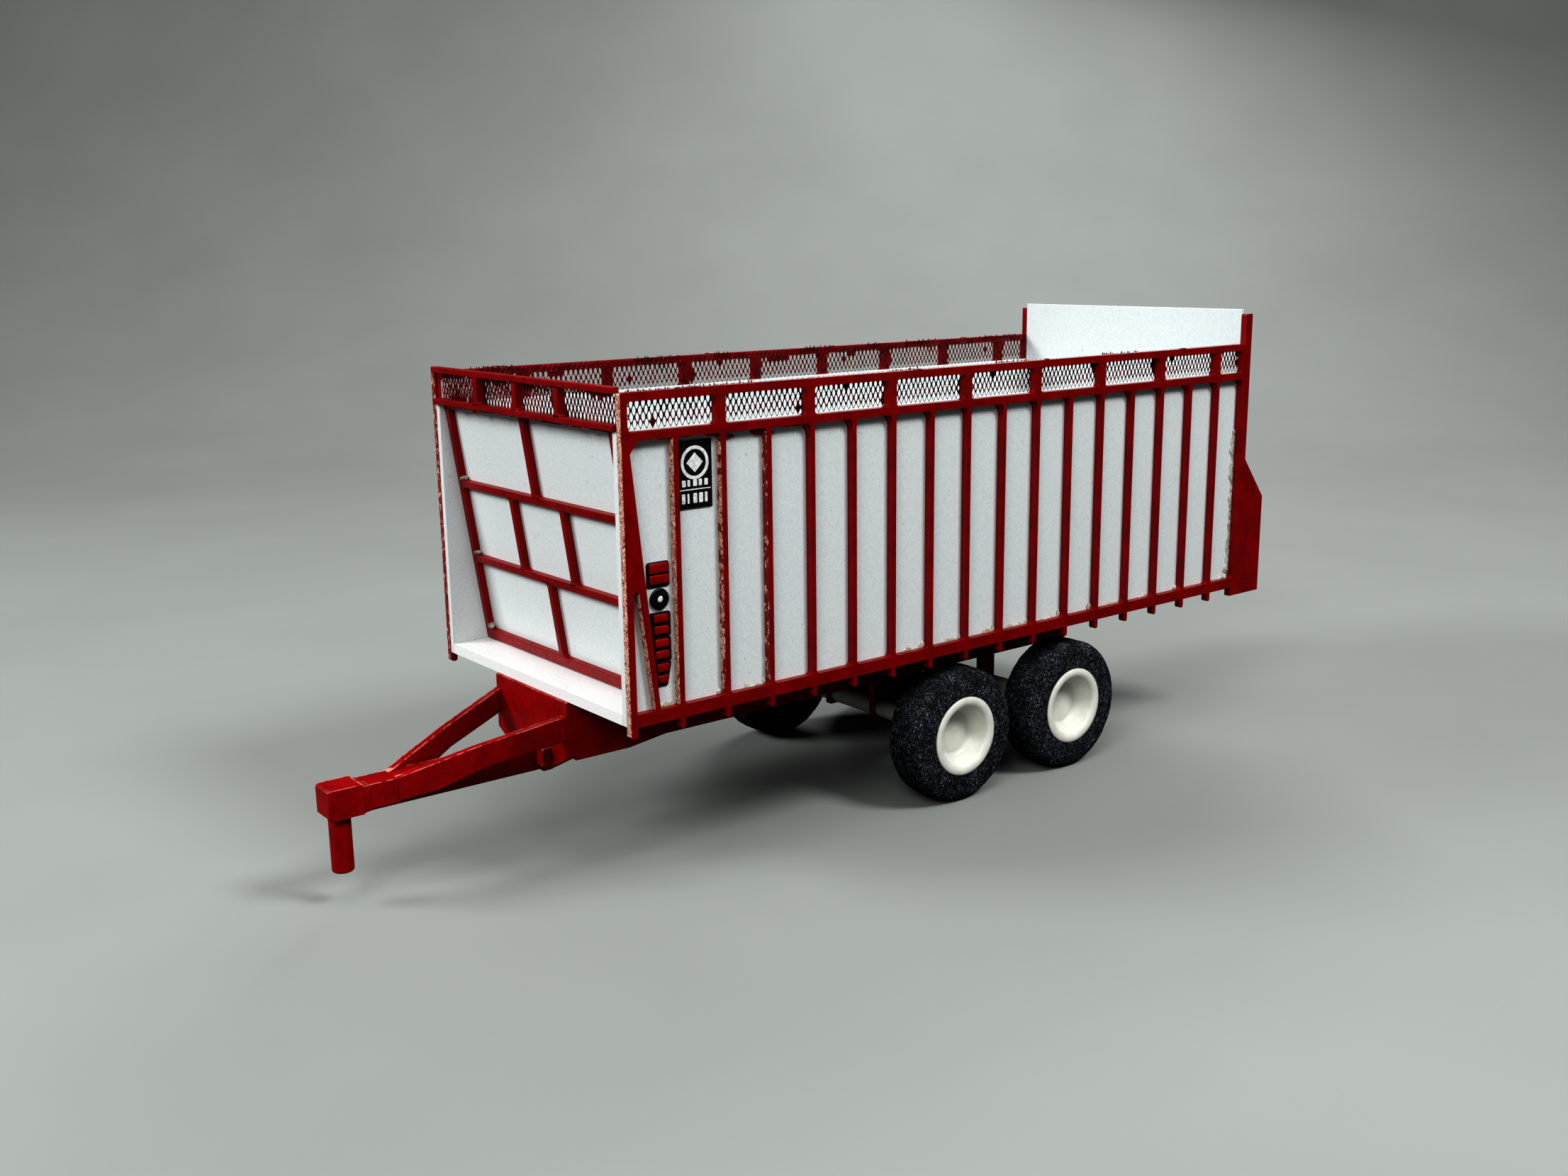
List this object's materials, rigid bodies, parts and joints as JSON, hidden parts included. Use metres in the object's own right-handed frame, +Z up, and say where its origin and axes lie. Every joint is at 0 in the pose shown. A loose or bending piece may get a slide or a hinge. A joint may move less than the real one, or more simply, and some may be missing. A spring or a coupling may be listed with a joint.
{
  "type": "grain and forage box trailer model",
  "caption": "Tandem-axle forage and grain box trailer model with ribbed red side frames, white liners, mesh top band, raked lattice front wall, A-frame drawbar and rolling wheels.",
  "frame": {"origin": "on the ground, on the centreline, midway along the overall length from the hitch block to the rear brackets", "axes": "+X to the right-hand side, +Y rearwards along the box, +Z up"},
  "size_m": [0.0426, 0.1352, 0.0598],
  "materials": {
    "red_frame_board": "thick glossy brush-painted dark red over fibreboard, bare cut edges at the front",
    "red_mesh": "dark red paint, clogged and uneven in the mesh",
    "red_chassis": "glossy brush-painted red",
    "red_trim": "glossy red with black shadows",
    "black_trim": "satin black print",
    "white_sheet": "satin cool-white styrene with faint specks",
    "white_axle": "satin white rod",
    "white_rim": "satin off-white moulded plastic",
    "black_tyre": "matt black rubber with dusty blue-grey speckle"
  },
  "bodies": {
    "trailer": {"side_frame_left": "red_frame_board", "side_liner_left": "white_sheet", "side_mesh_left": "red_mesh", "trim_plate_left": "black_trim", "badge_blocks_left": "red_trim", "chassis_rail_left": "red_chassis", "tongue_arm_left": "red_chassis", "side_frame_right": "red_frame_board", "side_liner_right": "white_sheet", "side_mesh_right": "red_mesh", "trim_plate_right": "black_trim", "badge_blocks_right": "red_trim", "chassis_rail_right": "red_chassis", "tongue_arm_right": "red_chassis", "front_shelf": "white_sheet", "floor_panel": "white_sheet", "rear_panel": "white_sheet", "front_panel": "white_sheet", "front_lattice": "red_frame_board", "front_band_frame": "red_frame_board", "front_mesh": "red_mesh", "bulkhead": "red_chassis", "cross_member_front": "red_chassis", "cross_member_rear": "red_chassis", "axle_bolster_front": "red_chassis", "axle_bolster_rear": "red_chassis", "drawbar_beam": "red_chassis", "jack_lug": "red_chassis", "hitch_block": "red_chassis", "hitch_pin": "red_chassis", "axle_front": "white_axle", "axle_hanger_front_left": "red_chassis", "axle_hanger_front_right": "red_chassis", "axle_rear": "white_axle", "axle_hanger_rear_left": "red_chassis", "axle_hanger_rear_right": "red_chassis"},
    "wheel_front_left": {"rim_front_left": "white_rim", "tyre_front_left": "black_tyre"},
    "wheel_front_right": {"rim_front_right": "white_rim", "tyre_front_right": "black_tyre"},
    "wheel_rear_left": {"rim_rear_left": "white_rim", "tyre_rear_left": "black_tyre"},
    "wheel_rear_right": {"rim_rear_right": "white_rim", "tyre_rear_right": "black_tyre"}
  },
  "joints": [
    {"name": "spin_front_left", "type": "hinge", "parent": "trailer", "child": "wheel_front_left", "pos_m": [-0.01815, 0.0076, 0.0087], "axis": [1, 0, 0], "continuous": true},
    {"name": "spin_front_right", "type": "hinge", "parent": "trailer", "child": "wheel_front_right", "pos_m": [0.01815, 0.0076, 0.0087], "axis": [1, 0, 0], "continuous": true},
    {"name": "spin_rear_left", "type": "hinge", "parent": "trailer", "child": "wheel_rear_left", "pos_m": [-0.01815, 0.02785, 0.0087], "axis": [1, 0, 0], "continuous": true},
    {"name": "spin_rear_right", "type": "hinge", "parent": "trailer", "child": "wheel_rear_right", "pos_m": [0.01815, 0.02785, 0.0087], "axis": [1, 0, 0], "continuous": true}
  ]
}
